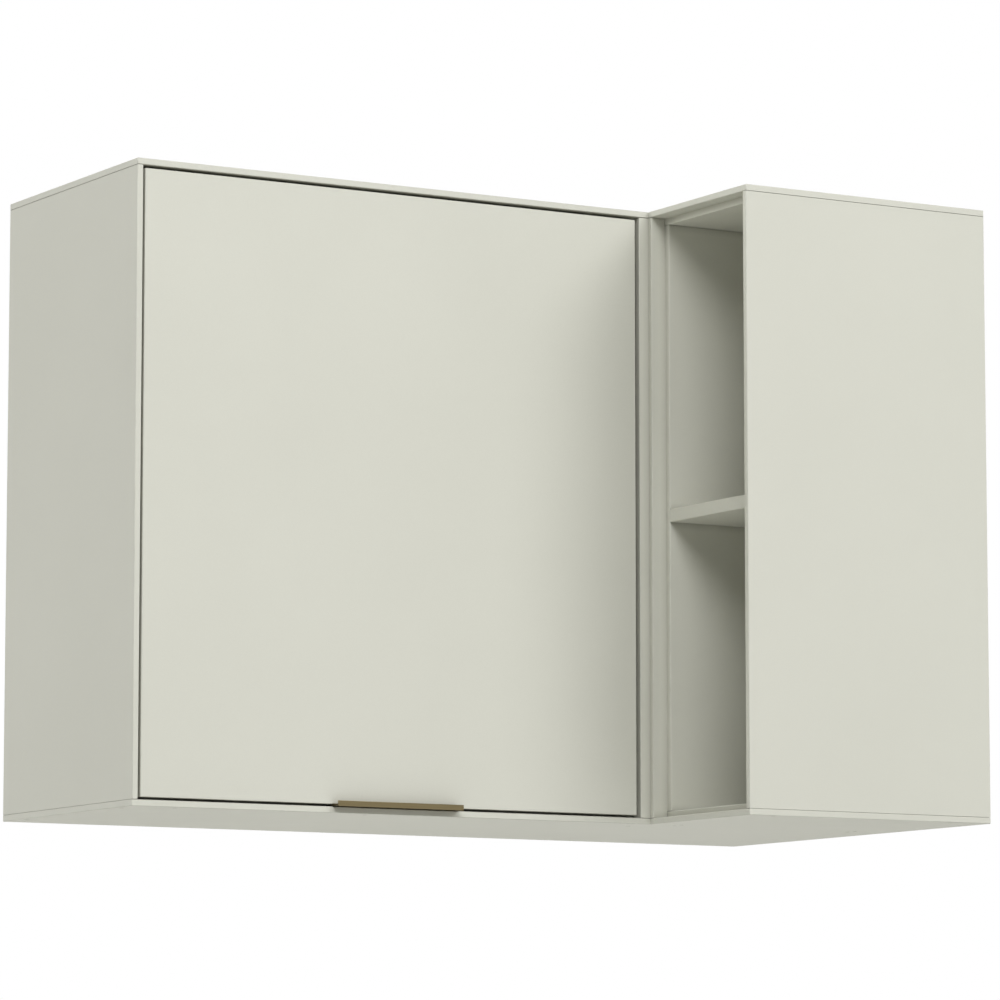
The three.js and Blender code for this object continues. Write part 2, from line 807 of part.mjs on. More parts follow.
function foot_bracket(side) {
  const { face, hand } = strut_sides[side];
  const plate = block(
    [joint_gap, -foot_bracket_width / 2, -foot_bracket_height / 2],
    [joint_gap + bracket_plate, foot_bracket_width / 2, foot_bracket_height / 2],
  );
  const eye_low = strut_offset - strut_eye_width / 2;
  const eye_high = strut_offset + strut_eye_width / 2;
  const stud = along_x(turned([
    [0, joint_gap], [stud_shoulder_radius, joint_gap], [stud_shoulder_radius, eye_low - joint_gap],
    [stud_radius, eye_low - joint_gap], [stud_radius, eye_high + joint_gap],
    [stud_cap_radius, eye_high + joint_gap], [stud_cap_radius, eye_high + joint_gap + stud_cap],
    [0, eye_high + joint_gap + stud_cap],
  ], tube_sides));
  const geometry = handed(joined([plate, stud, ...foot_screws_at(0)]), hand);
  piece(`${side}_strut_foot_bracket`, geometry, zinc, face, strut_foot_back, strut_foot_height);
}

// The head bracket's cheek stands beside the strut's eye, with its boss a joint gap off it
function head_cheek_low() {
  return strut_offset + strut_eye_width / 2 + joint_gap + bracket_plate;
}

function head_screws_at(spare) {
  const across = head_cheek_low() + bracket_plate + (head_bracket_width - bracket_plate) / 2;
  const seat = door_thickness + joint_gap + bracket_plate;
  return [-bracket_screw_pitch / 2, bracket_screw_pitch / 2].map((up) => {
    const screw = along_y(fitting_screw(spare, fitting_screw_bite)).rotateZ(Math.PI);
    return screw.translate(across, seat, up);
  });
}

function head_bracket_holes(side) {
  const { face, hand } = strut_sides[side];
  return head_screws_at(joint_gap).map((tool) => {
    return handed(tool, hand).translate(face, 0, strut_head_height);
  });
}

function head_bracket(side) {
  const { face, hand } = strut_sides[side];
  const low = door_thickness + joint_gap;
  const cheek_low = head_cheek_low();
  const plate = block(
    [cheek_low, low, -head_bracket_height / 2],
    [cheek_low + head_bracket_width, low + bracket_plate, head_bracket_height / 2],
  );
  const cheek = block(
    [cheek_low, low, -head_cheek_half_height],
    [cheek_low + bracket_plate, strut_head_back + head_cheek_half_height, head_cheek_half_height],
  );
  const boss_low = cheek_low - bracket_plate;
  const boss_high = cheek_low + bracket_plate + stud_cap;
  const boss = along_x(bar(stud_shoulder_radius, boss_low, boss_high, tube_sides));
  const whole = joined([plate, cheek, boss.translate(0, strut_head_back, 0), ...head_screws_at(0)]);
  const geometry = handed(whole, hand);
  piece(`${side}_strut_head_bracket`, geometry, zinc, face, 0, strut_head_height);
}

function strut_length() {
  return Math.hypot(strut_head_height - strut_foot_height, strut_foot_back - strut_head_back);
}

// The tube ends in an eye round the foot bracket's stud, and its rod end is open round the rod
function strut_tube() {
  const bore = strut_rod_radius + joint_gap;
  const guide = strut_tube_end - strut_guide_length;
  const tube = turned([
    [0, strut_tube_start], [strut_tube_radius, strut_tube_start], [strut_tube_radius, strut_tube_end],
    [bore, strut_tube_end], [bore, guide], [strut_tube_bore, guide],
    [strut_tube_bore, strut_tube_floor], [0, strut_tube_floor],
  ], tube_sides);
  const half = strut_eye_width / 2;
  const eye = along_x(bar(strut_eye_radius, -half, half, tube_sides));
  const neck = bar(strut_neck_radius, 0, strut_tube_start + cut_overrun, tube_sides);
  const hole = along_x(bar(stud_radius + joint_gap, -half - cut_overrun, half + cut_overrun, tube_sides));
  return cut(joined([tube, eye, neck]), [hole]);
}

// The rod carries a piston inside the tube and a plain round end beside the head bracket
function strut_rod() {
  const length = strut_length();
  const piston = strut_tube_bore - joint_gap;
  const socket = length - strut_eye_radius - strut_socket_length;
  const rod = turned([
    [0, strut_rod_start], [piston, strut_rod_start], [piston, strut_rod_start + piston_length],
    [strut_rod_radius, strut_rod_start + piston_length], [strut_rod_radius, socket],
    [strut_socket_radius, socket], [strut_socket_radius, length], [0, length],
  ], tube_sides);
  const half = strut_eye_width / 2;
  const eye = along_x(bar(strut_eye_radius, -half, half, tube_sides)).translate(0, 0, length);
  return joined([rod, eye]);
}

function gas_strut(side) {
  const { face, hand } = strut_sides[side];
  const strut = new THREE.Group();
  strut.position.set(face + hand * strut_offset, strut_foot_back, strut_foot_height);
  strut.rotation.x = Math.atan2(strut_foot_back - strut_head_back, strut_head_height - strut_foot_height);
  cabinet.add(strut);
  piece(`${side}_strut_tube`, strut_tube(), black_paint, 0, 0, 0, strut);
  piece(`${side}_strut_rod`, strut_rod(), rod_steel, 0, 0, 0, strut);
}

function struts() {
  for (const side of Object.keys(strut_sides)) {
    foot_bracket(side);
    head_bracket(side);
    gas_strut(side);
  }
}

bottom_panel();
top_panel();
left_side_panel();
right_side_panel();
door_post();
blind_panel();
niche_back_panel();
niche_end_panel();
niche_wall_panel();
niche_shelf();
inner_shelf();
back_board();
rails();
bottom_screws();
bottom_hole_plugs();
inner_shelf_pins();
hinges();
door_panel();
door_pull();
door_buffers();
struts();

const root = new THREE.Group();
root.add(cabinet);
export default root;
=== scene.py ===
# %% [markdown]
# # A corner wall cabinet, dressed
#
# The cabinet comes from CAD as a set of plain boards and fittings. They have the right sizes and
# places, but sharp edges, flat colours and round parts with few sides. This lesson gives each of
# them the edges, the round forms and the finish that it has in a kitchen, and sets up the
# camera and the light to look at it.
#
# The CAD model is loaded first and never changed. Its box is kept, because the dressed cabinet may
# not be larger than the CAD one.

import json
import math

import bmesh
import bpy
from mathutils import Matrix, Vector
from mathutils.bvhtree import BVHTree


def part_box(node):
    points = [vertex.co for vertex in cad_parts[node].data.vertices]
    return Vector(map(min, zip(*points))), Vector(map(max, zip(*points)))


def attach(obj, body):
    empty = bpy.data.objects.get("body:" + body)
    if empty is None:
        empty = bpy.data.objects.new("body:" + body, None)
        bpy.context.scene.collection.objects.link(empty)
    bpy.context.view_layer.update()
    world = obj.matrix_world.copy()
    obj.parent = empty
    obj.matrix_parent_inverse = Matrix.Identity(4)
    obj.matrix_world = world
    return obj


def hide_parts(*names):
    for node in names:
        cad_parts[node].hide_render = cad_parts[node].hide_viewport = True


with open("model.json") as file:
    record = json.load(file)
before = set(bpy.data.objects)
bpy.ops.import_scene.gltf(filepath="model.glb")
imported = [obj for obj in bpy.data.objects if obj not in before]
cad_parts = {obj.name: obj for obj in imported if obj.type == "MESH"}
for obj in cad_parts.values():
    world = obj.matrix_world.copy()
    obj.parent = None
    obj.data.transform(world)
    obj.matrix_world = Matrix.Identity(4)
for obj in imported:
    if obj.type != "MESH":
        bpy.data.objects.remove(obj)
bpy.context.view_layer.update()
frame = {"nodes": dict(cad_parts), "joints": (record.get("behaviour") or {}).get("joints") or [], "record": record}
nodes = frame["nodes"]

# %% [markdown]
# Blender counts in metres, and a cabinet maker in millimetres. Every size below is written in
# millimetres and multiplied by `mm`. Places are measured as on the workshop drawing, from the
# cupboard's front left bottom corner, with X to the right, Y to the wall and Z up. `spot` turns
# such a place into the frame of the CAD model, whose origin is on the wall, in the middle of the
# hanging rail.

# %% Millimetres and places
mm = 0.001
DRAWING_CORNER = Vector((-487.0, -324.0, -644.7)) * mm
CABINET_WIDTH = 974.0
CABINET_HEIGHT = 700.0


def spot(x, y, z):
    return DRAWING_CORNER + Vector((x, y, z)) * mm


def middle(node):
    low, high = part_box(node)
    return (low + high) / 2


door_axis = Vector(next(joint["pos_m"] for joint in frame["joints"] if joint["name"] == "door_lift"))
print("The door turns about a line at", [round(value, 4) for value in door_axis])

# %% [markdown]
# The camera stands low, left of the cabinet and well back, and looks up at it through a long lens.
# A long lens keeps the level edges almost parallel, as in a catalogue picture. A camera could be
# placed by eye, but here its place, turn and lens were worked out from the corners of the
# cabinet, so that each one falls where it should in a square picture.

# %% Camera
SENSOR_WIDTH = 36.0
PICTURE_SIDE = 1000
LENS_IN_PIXELS = 5071.4
CAMERA_PLACE = (-2395.2, -4838.2, -346.4)
CAMERA_TURN = math.radians(30.49)
CAMERA_TILT = math.radians(7.13)
FARTHEST_SEEN = 100.0


def new_object(name, data):
    """Puts a mesh, a camera or a lamp into the scene."""
    made = bpy.data.objects.new(name, data)
    bpy.context.scene.collection.objects.link(made)
    return made


camera_data = bpy.data.cameras.new("camera")
camera_data.sensor_width = SENSOR_WIDTH
camera_data.lens = LENS_IN_PIXELS / PICTURE_SIDE * SENSOR_WIDTH
camera_data.clip_end = FARTHEST_SEEN
camera = new_object("camera", camera_data)
bpy.context.scene.camera = camera
camera.location = spot(*CAMERA_PLACE)
looking = Vector((
    math.sin(CAMERA_TURN) * math.cos(CAMERA_TILT),
    math.cos(CAMERA_TURN) * math.cos(CAMERA_TILT),
    math.sin(CAMERA_TILT),
))
camera.rotation_euler = looking.to_track_quat("-Z", "Y").to_euler()
print("Lens in millimetres:", round(camera_data.lens, 1))

# %% [markdown]
# A finish is a small network of nodes. Networks are easier to read as sums, so `Wire` stands for a
# number that changes over a surface, and Python's own signs work on it: `1 - mask` adds a Math
# node. `Network` holds any tree of nodes. Its method `node` adds every kind of node: it takes the
# settings first and then what goes into the sockets. A `Finish` is the network of one material.

# %% Wires and networks
class Wire:
    """A number that changes over a surface."""

    def __init__(self, network, socket):
        self.network = network
        self.socket = socket

    def maths(self, operation, *values):
        made = self.network.node("ShaderNodeMath", {"operation": operation}, dict(enumerate(values)))
        return Wire(self.network, made.outputs[0])

    def __add__(self, other):
        return self.maths("ADD", self, other)

    def __radd__(self, other):
        return self.maths("ADD", other, self)

    def __sub__(self, other):
        return self.maths("SUBTRACT", self, other)

    def __rsub__(self, other):
        return self.maths("SUBTRACT", other, self)

    def __mul__(self, other):
        return self.maths("MULTIPLY", self, other)

    def __rmul__(self, other):
        return self.maths("MULTIPLY", other, self)

    def sine(self):
        return self.maths("SINE", self)

    def larger(self, other):
        return self.maths("MAXIMUM", self, other)

    def above(self, low, high):
        """0 below low, 1 above high, and an even rise between them."""
        sockets = {"Value": self, "From Min": low, "From Max": high}
        made = self.network.node("ShaderNodeMapRange", {"clamp": True}, sockets)
        return Wire(self.network, made.outputs["Result"])


class Network:
    """A tree of nodes and the ways to add to it."""

    def __init__(self, tree):
        self.tree = tree

    def node(self, kind, settings, sockets):
        made = self.tree.nodes.new(kind)
        for name, setting in settings.items():
            setattr(made, name, setting)
        for name, value in sockets.items():
            self.feed(made.inputs[name], value)
        return made

    def feed(self, socket, value):
        source = value.socket if isinstance(value, Wire) else value
        if isinstance(source, bpy.types.NodeSocket):
            self.tree.links.new(source, socket)
        else:
            socket.default_value = source

    def wire(self, kind, output):
        """One output of a node that needs no settings."""
        return Wire(self, self.node(kind, {}, {}).outputs[output])

    def axes(self, place):
        """The three numbers of a place or a direction."""
        made = self.node("ShaderNodeSeparateXYZ", {}, {"Vector": place})
        return [Wire(self, output) for output in made.outputs]

    def seen(self):
        """1 for rays from the camera, also by way of gloss or glass, and 0 for matt light."""
        rays = self.node("ShaderNodeLightPath", {}, {}).outputs
        names = ("Is Camera Ray", "Is Glossy Ray", "Is Transmission Ray")
        camera_ray, glossy_ray, glass_ray = (Wire(self, rays[name]) for name in names)
        return camera_ray.larger(glossy_ray).larger(glass_ray)


class Finish(Network):
    """The network of one material."""

    def __init__(self, name):
        self.material = bpy.data.materials.new(name)
        self.material.use_nodes = True
        super().__init__(self.material.node_tree)
        self.surface = self.tree.nodes["Principled BSDF"]
        self.place = self.node("ShaderNodeTexCoord", {}, {}).outputs["Object"]

    def shader(self, **values):
        """Sets the surface's sockets. Roughness=0.5 is a number, and Base_Color is Base Color."""
        for name, value in values.items():
            self.feed(self.surface.inputs[name.replace("_", " ")], value)

    def stretched(self, x, y, z):
        """The surface's coordinates, with each axis drawn out or pressed together."""
        sockets = {0: self.place, 1: (x, y, z)}
        return self.node("ShaderNodeVectorMath", {"operation": "MULTIPLY"}, sockets).outputs[0]

    def noise(self, per_metre, detail=2.0, place=None):
        """Soft random patches, so many to a metre, from 0 to 1."""
        sockets = {"Vector": place or self.place, "Scale": per_metre, "Detail": detail}
        made = self.node("ShaderNodeTexNoise", {"noise_dimensions": "3D"}, sockets)
        return Wire(self, made.outputs[0])

    def mix(self, amount, first, second):
        """The first colour where amount is 0 and the second where it is 1."""
        made = self.node("ShaderNodeMix", {"data_type": "RGBA"}, {0: amount, 6: first, 7: second})
        return made.outputs[2]

    def rubbed_and_highlit(self, low, high):
        """1 on edges that stick out, where hands and cloths rub and a highlight is painted, and 0 on flat faces.
        """
        return self.wire("ShaderNodeNewGeometry", "Pointiness").above(low, high)

    def open_air(self, reach):
        """1 on open faces, and less where other faces stand within reach, given in millimetres."""
        made = self.node("ShaderNodeAmbientOcclusion", {"samples": 8}, {"Distance": reach * mm})
        return Wire(self, made.outputs["AO"])

    def bump(self, height, depth, strength=1.0):
        """Tilts the surface by a height from 0 to 1 that stands for depth in millimetres."""
        sockets = {"Height": height, "Distance": depth * mm, "Strength": strength}
        self.shader(Normal=self.node("ShaderNodeBump", {}, sockets).outputs["Normal"])


def colour(red, green, blue):
    """A paint colour given from 0 to 255, as Blender's linear values, by the usual screen curve."""
    shares = [value / 255 for value in (red, green, blue)]
    linear = [
        share / 12.92 if share < 0.04045 else ((share + 0.055) / 1.055) ** 2.4
        for share in shares
    ]
    return (*linear, 1.0)


# %% [markdown]
# The boards have a matt lacquer, a pale grey-green off-white. From across the room it looks quite
# even. Close up it has a faint skin like the peel of an orange, because sprayed paint dries in
# tiny waves, and it is never equally matt everywhere. So the colour moves by two or three percent
# in wide clouds and in fine specks, the roughness follows its own clouds, and a very shallow bump
# makes the skin. Shade is painted into the narrow gaps and inner corners: the Ambient Occlusion node
# finds them, and there the colour is darkened and made rougher. The rounded edges get a second
# finish: there the lacquer is a little lighter and smoother, in patches, as rubbed wear and as a
# painted highlight, and in the joints between two boards the painted shade is darkest.

# %% Lacquer
DEEP_LACQUER = colour(213, 213, 202)
PALE_LACQUER = colour(219, 219, 208)
# The lighter lacquer of the rounded edges: rubbed wear and a painted highlight.
RUBBED_AND_HIGHLIT_LACQUER = colour(228, 229, 219)
# The colour that the painted shade in corners, gaps and joints darkens towards.
CREVICE_SHADE = colour(112, 110, 96)
CORNER_REACH = 9
CORNER_SHADE_AMOUNT = 0.55
JOINT_REACH = 2
JOINT_SHADE_AMOUNT = 0.35


def lacquer(name, rubbed_and_highlit):
    finish = Finish(name)
    clouds = finish.noise(3.5)
    specks = finish.noise(900, detail=3)
    tone = clouds * 0.6 + specks * 0.4
    paint = finish.mix(tone.above(0.25, 0.75), DEEP_LACQUER, PALE_LACQUER)
    sheen = finish.noise(28) * 0.08 + 0.5
    if rubbed_and_highlit:
        # On the roundings the colour is lighter in patches: partly rubbed wear, partly a painted highlight.
        patches = finish.noise(45, detail=4).above(0.45, 0.7)
        paint = finish.mix(patches * 0.5, paint, RUBBED_AND_HIGHLIT_LACQUER)
        sheen = sheen - patches * 0.12
    # Painted shade: the colour is darkened and roughened where the Ambient Occlusion node finds other faces near,
    # in corners and gaps, and on the edges also in the joints.
    painted_shade = (1 - finish.open_air(CORNER_REACH)) * CORNER_SHADE_AMOUNT
    if rubbed_and_highlit:
        painted_shade = painted_shade + (1 - finish.open_air(JOINT_REACH)) * JOINT_SHADE_AMOUNT
    paint = finish.mix(painted_shade, paint, CREVICE_SHADE)
    finish.shader(Base_Color=paint, Roughness=sheen + painted_shade * 0.3, Specular_IOR_Level=0.15)
    finish.bump(finish.noise(480) * 0.75 + finish.noise(1700) * 0.25, depth=0.02, strength=0.5)
    return finish.material


LACQUER = lacquer("lacquer", rubbed_and_highlit=False)
LACQUER_EDGE = lacquer("lacquer_on_edges", rubbed_and_highlit=True)
print("Lacquer nodes:", len(LACQUER.node_tree.nodes), "and on edges", len(LACQUER_EDGE.node_tree.nodes))

# %% [markdown]
# The back is a thin sheet of hardboard, painted to match. Such a sheet is pressed on a wire screen,
# and its rear keeps the screen's print: two sets of fine ridges that cross. Two sine waves, one
# along X and one along Z, give that. Some fibres show through the thin paint as darker specks.

# %% Hardboard
SCREEN_WIRES_PER_METRE = 700
DEEP_HARDBOARD = colour(203, 203, 190)
PALE_HARDBOARD = colour(212, 212, 199)
FIBRES = colour(180, 174, 155)


def hardboard():
    finish = Finish("hardboard_paint")
    x, _, z = finish.axes(finish.place)
    turns = 2 * math.pi * SCREEN_WIRES_PER_METRE
    across = (x * turns).sine()
    upward = (z * turns).sine()
    fibres = finish.noise(900, detail=5, place=finish.stretched(1, 1, 0.5)).above(0.58, 0.75)
    clouds = finish.noise(5)
    paint = finish.mix(fibres * 0.25, finish.mix(clouds, DEEP_HARDBOARD, PALE_HARDBOARD), FIBRES)
    finish.shader(Base_Color=paint, Roughness=clouds * 0.08 + 0.62)
    finish.bump((across + upward) * 0.25 + 0.5, depth=0.06, strength=0.5)
    return finish.material


HARDBOARD = hardboard()

# %% [markdown]
# The pull is aluminium, brushed along its length and anodised to a matt bronze. The brushing is a
# noise drawn out a hundredfold along X: it moves the colour and the roughness and cuts fine lines.
# Anodising is thin on sharp edges, so there the metal below shows through a little, and the rounded edges are also
# painted lighter in patches as a highlight.

# %% Bronze
DEEP_BRONZE = colour(102, 91, 65)
PALE_BRONZE = colour(119, 108, 79)
# The lighter bronze of the pull's rounded edges: worn anodising and a painted highlight.
WORN_AND_HIGHLIT_BRONZE = colour(150, 138, 112)


def bronze(name, worn_and_highlit):
    finish = Finish(name)
    lines = finish.noise(30, detail=5, place=finish.stretched(0.6, 60, 60))
    clouds = finish.noise(60)
    metal = finish.mix(lines, DEEP_BRONZE, PALE_BRONZE)
    rough = clouds * 0.06 + lines * 0.1 + 0.36
    if worn_and_highlit:
        # On the rounded edges the colour is lighter in patches: worn anodising and a painted highlight.
        bright = finish.noise(220, detail=4).above(0.4, 0.75)
        metal = finish.mix(bright * 0.4 + 0.1, metal, WORN_AND_HIGHLIT_BRONZE)
        rough = rough - bright * 0.08
    finish.shader(Base_Color=metal, Roughness=rough, Metallic=0.85)
    finish.bump(lines, depth=0.02, strength=0.4)
    return finish.material


BRONZE = bronze("bronze", worn_and_highlit=False)
BRONZE_EDGE = bronze("bronze_on_edges", worn_and_highlit=True)

# %% [markdown]
# The fittings need three bare metals and one paint. The hinges are nickel plated: warm, satin and
# faintly scratched. The screws and brackets are zinc plated, which is bluer and lies in cloudy
# crystals, so it takes a cell pattern. The rods are ground and polished round and round. The tubes
# have a satin black paint with a fine skin. One recipe with different numbers serves them all.

# %% Metals and black paint
def metal(name, dull, bright, rubbed_and_highlit, roughness, cells=0, lines=(1, 1, 1), metallic=1.0):
    finish = Finish(name)
    clouds = finish.noise(35, detail=3)
    scratches = finish.noise(90, detail=6, place=finish.stretched(*lines))
    tone = clouds * 0.5 + scratches * 0.5
    if cells:
        sockets = {"Vector": finish.place, "Scale": cells}
        crystals = finish.node("ShaderNodeTexVoronoi", {"feature": "F1"}, sockets)
        tone = tone * 0.5 + Wire(finish, crystals.outputs["Distance"]) * 0.5
    # Edges that stick out are lighter and smoother: partly rubbed wear, partly a painted highlight.
    edge = finish.rubbed_and_highlit(0.52, 0.62) * 0.6
    finish.shader(
        Base_Color=finish.mix(edge, finish.mix(tone.above(0.25, 0.75), dull, bright), rubbed_and_highlit),
        Roughness=scratches * 0.14 + clouds * 0.06 + roughness - edge * 0.06,
        Metallic=metallic,
    )
    finish.bump(scratches, depth=0.01, strength=0.35)
    return finish.material


NICKEL = metal(
    "nickel", dull=colour(186, 182, 173), bright=colour(208, 205, 197), rubbed_and_highlit=colour(224, 222, 216),
    roughness=0.22, lines=(1, 12, 12),
)
ZINC = metal(
    "zinc", dull=colour(166, 170, 175), bright=colour(197, 199, 198), rubbed_and_highlit=colour(215, 217, 218),
    roughness=0.3, cells=420,
)
POLISHED = metal(
    "polished_rod", dull=colour(204, 207, 210), bright=colour(222, 224, 226),
    rubbed_and_highlit=colour(232, 233, 234), roughness=0.08, lines=(1, 1, 25),
)
BLACK = metal(
    "black_tube_paint", dull=colour(26, 26, 28), bright=colour(34, 34, 36), rubbed_and_highlit=colour(62, 62, 63),
    roughness=0.34, metallic=0.0,
)

# %% [markdown]
# Two small plastics are left: the milky buffers that soften the door's fall, which let some light
# in, and the caps in two spare holes under the bottom. Both are moulded, with a fine matt skin.

# %% Plastics
LIGHT_TRAVEL = (0.002, 0.002, 0.0018)


def plastic(name, deep, pale, roughness, milky):
    finish = Finish(name)
    clouds = finish.noise(400, detail=3)
    finish.shader(
        Base_Color=finish.mix(clouds, deep, pale),
        Roughness=clouds * 0.12 + roughness,
        Subsurface_Weight=milky,
        Subsurface_Radius=LIGHT_TRAVEL,
    )
    finish.bump(finish.noise(2500), depth=0.01, strength=0.5)
    return finish.material


MILKY = plastic(
    "milky_buffer", deep=colour(206, 208, 204), pale=colour(222, 223, 219), roughness=0.3, milky=0.6,
)
CAP = plastic(
    "cap_plastic", deep=colour(160, 160, 147), pale=colour(172, 172, 158), roughness=0.5, milky=0.0,
)

# %% [markdown]
# Every piece is made as a `bmesh`, Blender's editable mesh. `piece` turns it into an object, hides
# the CAD node that it stands for, and lets it ride with the carcass, the door or a strut. A node's
# body is known from the frame, so it need not be written again.

# %% From mesh to piece
body_of_node = {
    node: body for body, members in frame["record"]["behaviour"]["bodies"].items() for node in members
}


def as_mesh(shape, name, materials=()):
    mesh = bpy.data.meshes.new(name)
    shape.to_mesh(mesh)
    shape.free()
    for material in materials:
        mesh.materials.append(material)
    return mesh


def piece(node, shape, materials=()):
    """Makes the object for a CAD node, from a shape of its own or from a mesh that several share."""
    shared = isinstance(shape, bpy.types.Mesh)
    mesh = shape if shared else as_mesh(shape, node + "_mesh", materials)
    made = new_object(node + "_finished", mesh)
    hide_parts(node)
    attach(made, body_of_node[node])
    return made


# %% [markdown]
# No real board has a perfectly sharp edge: it is eased with a fine sandpaper, and the small
# rounding catches a line of light. That line is what makes a board look solid. `eased` copies a
# CAD board, merges the triangles of each flat face again, and rounds its outer edges. Sandpaper on a
# block leaves a little slope more than a round, hence the flat profile. Screw holes stay crisp: their
# sides aren't square to the board.
#
# Where two boards meet, the maker rounds less, or the joint would show as a wide groove. An edge that
# lies along another board therefore gets a smaller radius. Screws pull the bottom tight, but the top
# panel is pressed on dowels from above, and there a hairline of shadow shows: the boards below it get
# a tiny step in place of a rounding.
#
# A bevel replaces the edges that it ends at. So the edges along joints are looked for anew after each
# pass, and the short ones at the ends of a rounding are taken along. A step that runs into a rounded
# corner can swell past the board, so at the end every point is held inside the board's own box. Flat
# faces stay flat shaded and only the roundings are smooth, so that the light rolls over the edge
# alone. The roundings get the second material.

# %% Eased boards
FLAT = math.radians(1)
STEEP = math.radians(45)
SQUARE = 0.999
SAME_POINT = 0.001
SAME_HEIGHT = 0.01
MEETING = 0.6
PROBES = 9
SHORTEST_EASED = 3.0
LONGEST_IN_ROUNDING = 0.4
SANDED = 0.33
STEPPED = 0.0
BOARD_EASING = 0.7
BACK_EASING = 0.25
JOINT_EASING = 0.1
TOP_PANEL_EASING = 0.15
SHADOW_STEP = 0.25
TOP_JOINT = 692.7

BOARDS = [
    "top_panel", "bottom_panel", "left_side_panel", "right_side_panel", "door_post", "blind_panel",
    "niche_back_panel", "niche_end_panel", "niche_wall_panel", "niche_shelf", "inner_shelf",
    "upper_hanging_rail", "lower_wall_rail",
]


def surface_of(node):
    mesh = nodes[node].data
    corners = [vertex.co for vertex in mesh.vertices]
    return BVHTree.FromPolygons(corners, [face.vertices for face in mesh.polygons])


surfaces = {board: surface_of(board) for board in BOARDS}


def is_sharp(edge):
    return edge.is_manifold and edge.is_convex and edge.calc_face_angle() >= STEEP


def faces_along_axes(edge):
    return sum(max(abs(value) for value in face.normal) > SQUARE for face in edge.link_faces)


def is_outer(edge):
    """A long sharp edge between two faces that look along the axes."""
    long_enough = edge.calc_length() > SHORTEST_EASED * mm
    return is_sharp(edge) and faces_along_axes(edge) == 2 and long_enough


def ends_rounding(edge):
    """A short sharp edge where a rounding that was made before runs out on a flat face."""
    short_enough = edge.calc_length() < LONGEST_IN_ROUNDING * mm
    return is_sharp(edge) and faces_along_axes(edge) > 0 and short_enough


def meets_board(edge, others):
    """More than half of the edge lies along another board."""
    start, end = (vertex.co for vertex in edge.verts)
    places = [start.lerp(end, (probe + 0.5) / PROBES) for probe in range(PROBES)]
    near = [
        any(other.find_nearest(place, MEETING * mm)[0] is not None for other in others)
        for place in places
    ]
    return sum(near) > PROBES / 2


def is_under_top(edge):
    height = spot(0, 0, TOP_JOINT).z
    return all(abs(vertex.co.z - height) < SAME_HEIGHT * mm for vertex in edge.verts)


def joints_of(shape, others, under_top):
    """The edges that are still sharp and lie along other boards, under the top or elsewhere."""
    sharp = [edge for edge in shape.edges if is_outer(edge) or ends_rounding(edge)]
    return [edge for edge in sharp if meets_board(edge, others) and is_under_top(edge) == under_top]


def rounded(shape, edges, radius, segments=2, profile=SANDED):
    result = bmesh.ops.bevel(
        shape, geom=edges, offset=radius * mm, segments=segments, profile=profile,
        affect="EDGES", clamp_overlap=False, material=1,
    )
    for face in result["faces"]:
        face.smooth = profile != STEPPED


def eased(node, radius, segments=3):
    shape = bmesh.new()
    shape.from_mesh(nodes[node].data)
    bmesh.ops.remove_doubles(shape, verts=shape.verts, dist=SAME_POINT * mm)
    bmesh.ops.dissolve_limit(shape, angle_limit=FLAT, verts=shape.verts, edges=shape.edges)
    for face in shape.faces:
        face.smooth = False
        face.material_index = 0
    others = [surface for board, surface in surfaces.items() if board != node]
    exposed = [edge for edge in shape.edges if is_outer(edge) and not meets_board(edge, others)]
    rounded(shape, exposed, radius, segments)
    rounded(shape, joints_of(shape, others, under_top=False), min(radius, JOINT_EASING))
    under_top = joints_of(shape, others, under_top=True)
    if node == "top_panel":
        rounded(shape, under_top, TOP_PANEL_EASING)
    else:
        rounded(shape, under_top, SHADOW_STEP, profile=STEPPED)
    low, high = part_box(node)
    for vertex in shape.verts:
        vertex.co = [min(max(value, low[axis]), high[axis]) for axis, value in enumerate(vertex.co)]
    return shape


for board in BOARDS:
    made = piece(board, eased(board, BOARD_EASING), [LACQUER, LACQUER_EDGE])
    print(board, "has", len(made.data.polygons), "faces")

piece("back_board", eased("back_board", BACK_EASING, segments=2), [HARDBOARD, HARDBOARD])

# %% [markdown]
# The door is one more lacquered board. It is handled every day, so its edges are eased a little
# more than those of the carcass. The pull is a thin metal angle: its own edges are only broken.

# %% Door and pull
DOOR_EASING = 0.75
PULL_EASING = 0.25

piece("door_panel", eased("door_panel", DOOR_EASING), [LACQUER, LACQUER_EDGE])
piece("door_pull", eased("door_pull", PULL_EASING), [BRONZE, BRONZE_EDGE])

# %% [markdown]
# Round parts are turned on a lathe: half of the outline, swung about the Z axis. Its corners are
# first softened into small arcs, as a real tool leaves them. An arc takes a little less than half of
# each side, so that two arcs never meet. The same softening serves the outlines of plates and the
# bends of a pressed strip. `round_bar` is the plainest turned part.

# %% Softened outlines and turned parts
SIDES_PER_ARC = 2.1
ON_THE_AXIS = 1e-6


def softened(points, radius, closed=False, steps=4):
    points = [Vector(point) for point in points]
    count = len(points)
    soft = []
    for index, corner in enumerate(points):
        if not closed and index in (0, count - 1):
            soft.append(corner)
            continue
        before = points[index - 1] - corner
        after = points[(index + 1) % count] - corner
        start = corner + before.normalized() * min(radius, before.length / SIDES_PER_ARC)
        end = corner + after.normalized() * min(radius, after.length / SIDES_PER_ARC)
        for step in range(steps + 1):
            t = step / steps
            soft.append(start * (1 - t) ** 2 + corner * 2 * t * (1 - t) + end * t ** 2)
    return soft


